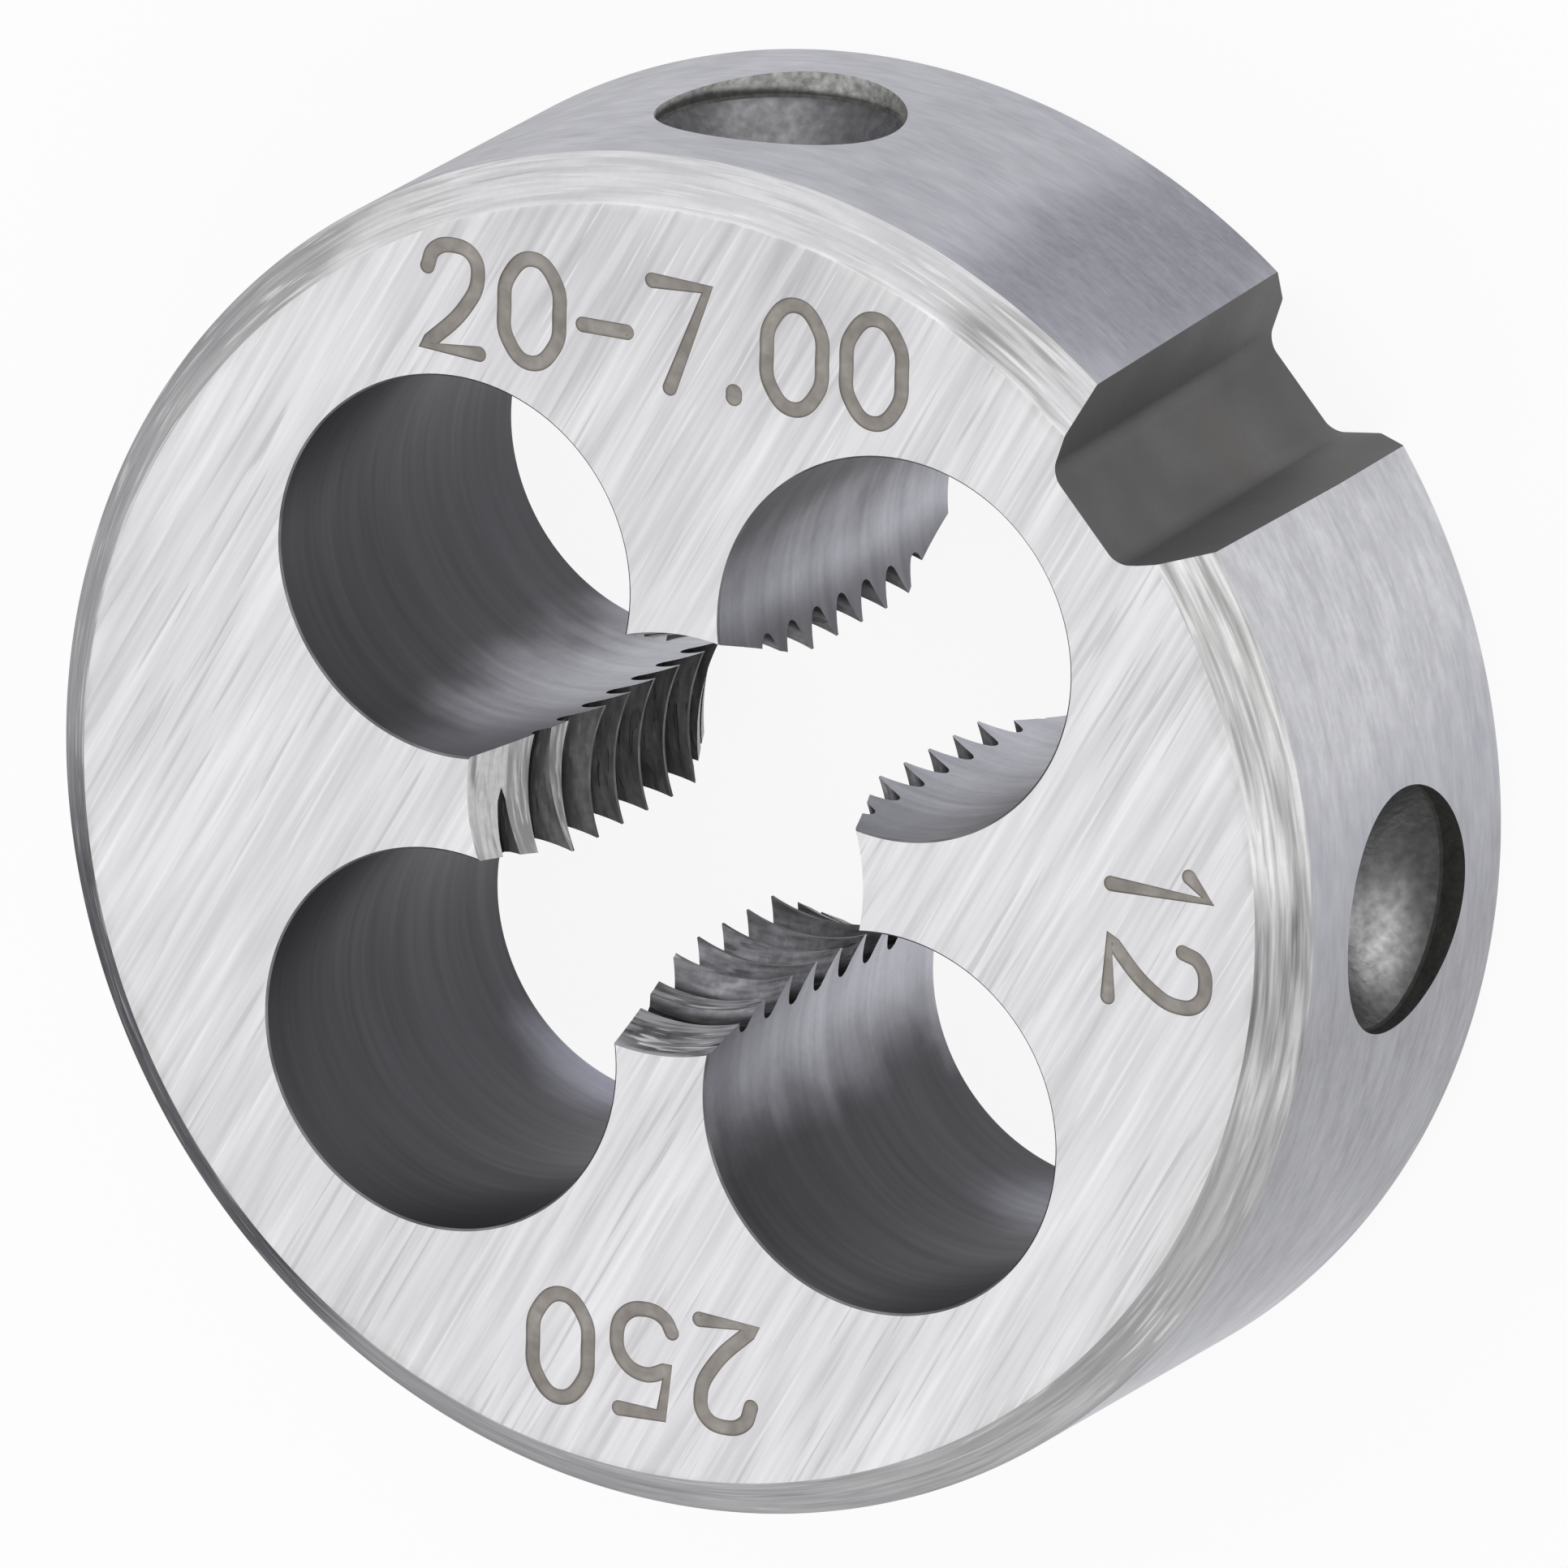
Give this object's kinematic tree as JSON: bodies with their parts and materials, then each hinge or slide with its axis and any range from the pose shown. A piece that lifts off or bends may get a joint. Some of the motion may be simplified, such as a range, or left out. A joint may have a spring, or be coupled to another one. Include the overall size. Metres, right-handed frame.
{
  "type": "round threading die",
  "caption": "Round threading die: a ground steel disc whose threaded bore is opened by round flutes into cutting lands, with a V-groove and dimples in its edge.",
  "frame": {"origin": "centre of the bore at the back face, on which the die lies", "axes": "+Z along the bore axis, out of the marked face; +X and +Y through the middle of two neighbouring cutting lands, with the V-groove between them"},
  "size_m": [0.02, 0.02, 0.007],
  "materials": {
    "die_steel": "ground faces with straight grinding lines, turned chamfers, satin edge, dark flutes and groove"
  },
  "bodies": {
    "root": {"round_die": "die_steel"}
  },
  "joints": []
}
